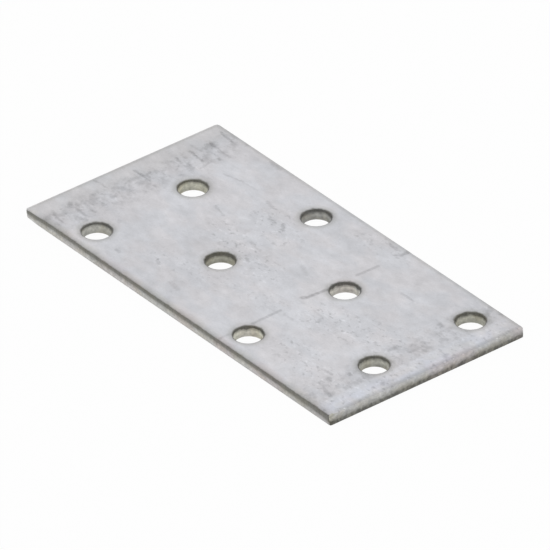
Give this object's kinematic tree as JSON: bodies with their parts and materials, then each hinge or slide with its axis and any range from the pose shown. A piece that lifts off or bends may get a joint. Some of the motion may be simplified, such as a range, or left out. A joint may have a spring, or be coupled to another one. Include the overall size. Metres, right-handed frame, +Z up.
{
  "type": "mending plate",
  "caption": "Flat galvanised steel mending plate with a staggered pattern of punched nail holes, sheared square, for joining two timbers end to end.",
  "frame": {"origin": "middle of the plate's bottom face", "axes": "+X along the 80 mm length, towards the end with the narrower margin beside its holes; +Y across the 40 mm width; +Z up through the 2 mm thickness, towards the face that the holes were punched from"},
  "size_m": [0.08, 0.04, 0.002],
  "materials": {
    "galvanised_steel": "matt hot-dip galvanised sheet, with bare fractured steel at the cut edges and hole walls"
  },
  "bodies": {
    "root": {"mending_plate": "galvanised_steel"}
  },
  "joints": []
}
